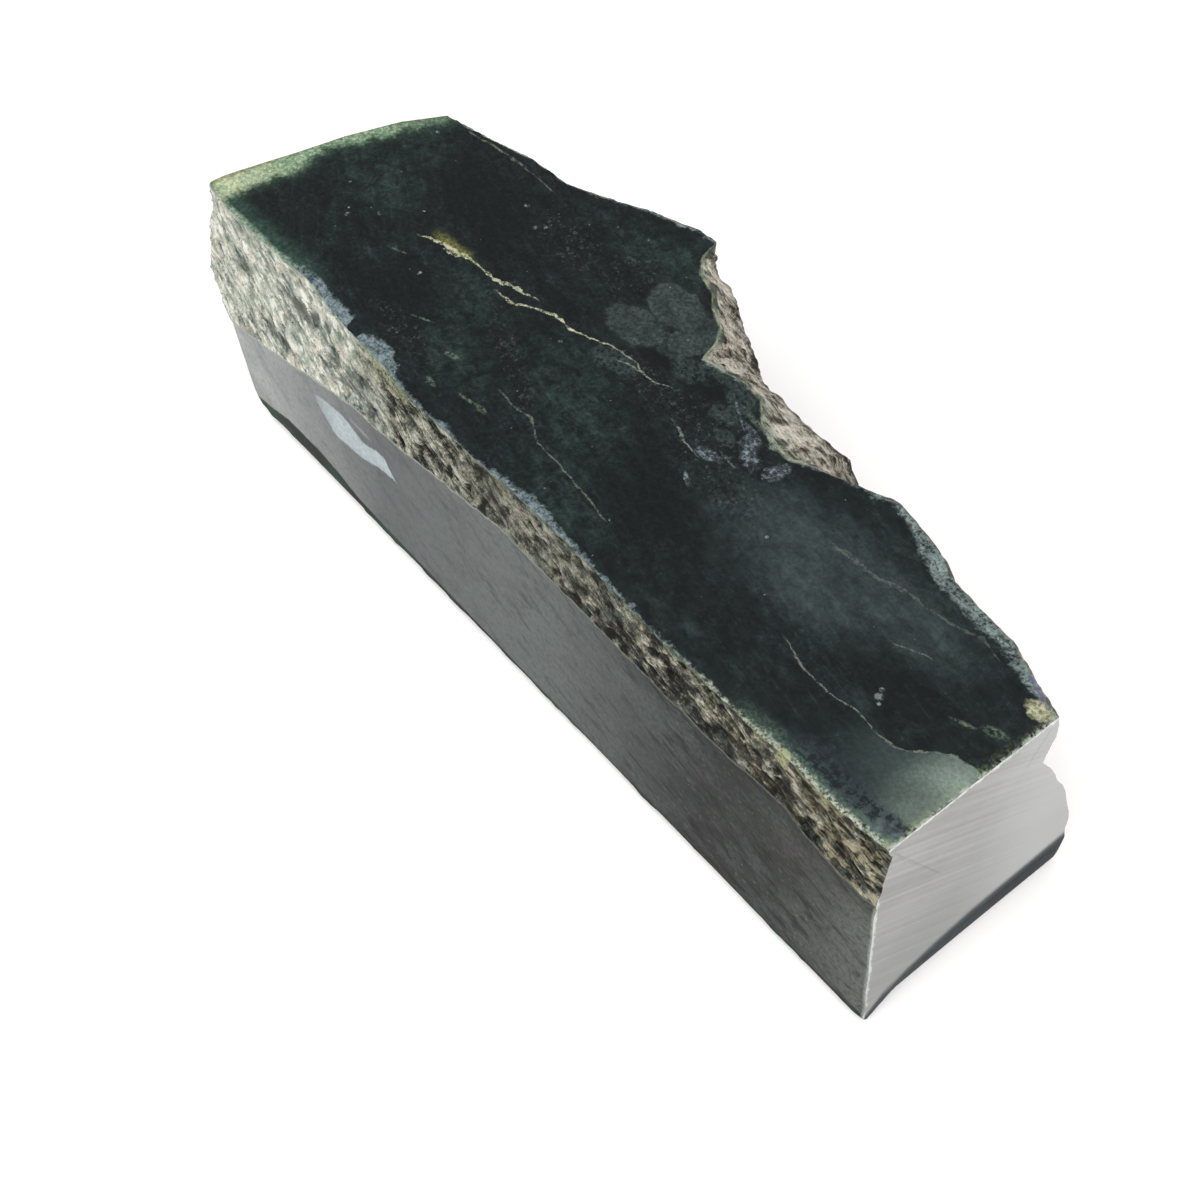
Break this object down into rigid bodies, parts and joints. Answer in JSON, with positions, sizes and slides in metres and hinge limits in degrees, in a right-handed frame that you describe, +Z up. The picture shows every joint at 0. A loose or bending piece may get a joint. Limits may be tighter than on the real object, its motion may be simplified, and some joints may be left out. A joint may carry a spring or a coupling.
{
  "type": "raw jade boulder block",
  "caption": "Long sawn block of raw nephrite jade with weathered boulder rind left on its back, far end and upper front edge.",
  "frame": {"origin": "middle of the sawn underside, at floor level", "axes": "+X along the stone towards the sawn end, -Y towards the long sawn side, +Z up to the sawn top"},
  "size_m": [0.3066, 0.1154, 0.086],
  "materials": {
    "jade": "sawn dark green jade, semi-polished on top and dull grey on the side and end, with pale fibrous rind"
  },
  "bodies": {
    "root": {"jade_boulder": "jade"}
  },
  "joints": []
}
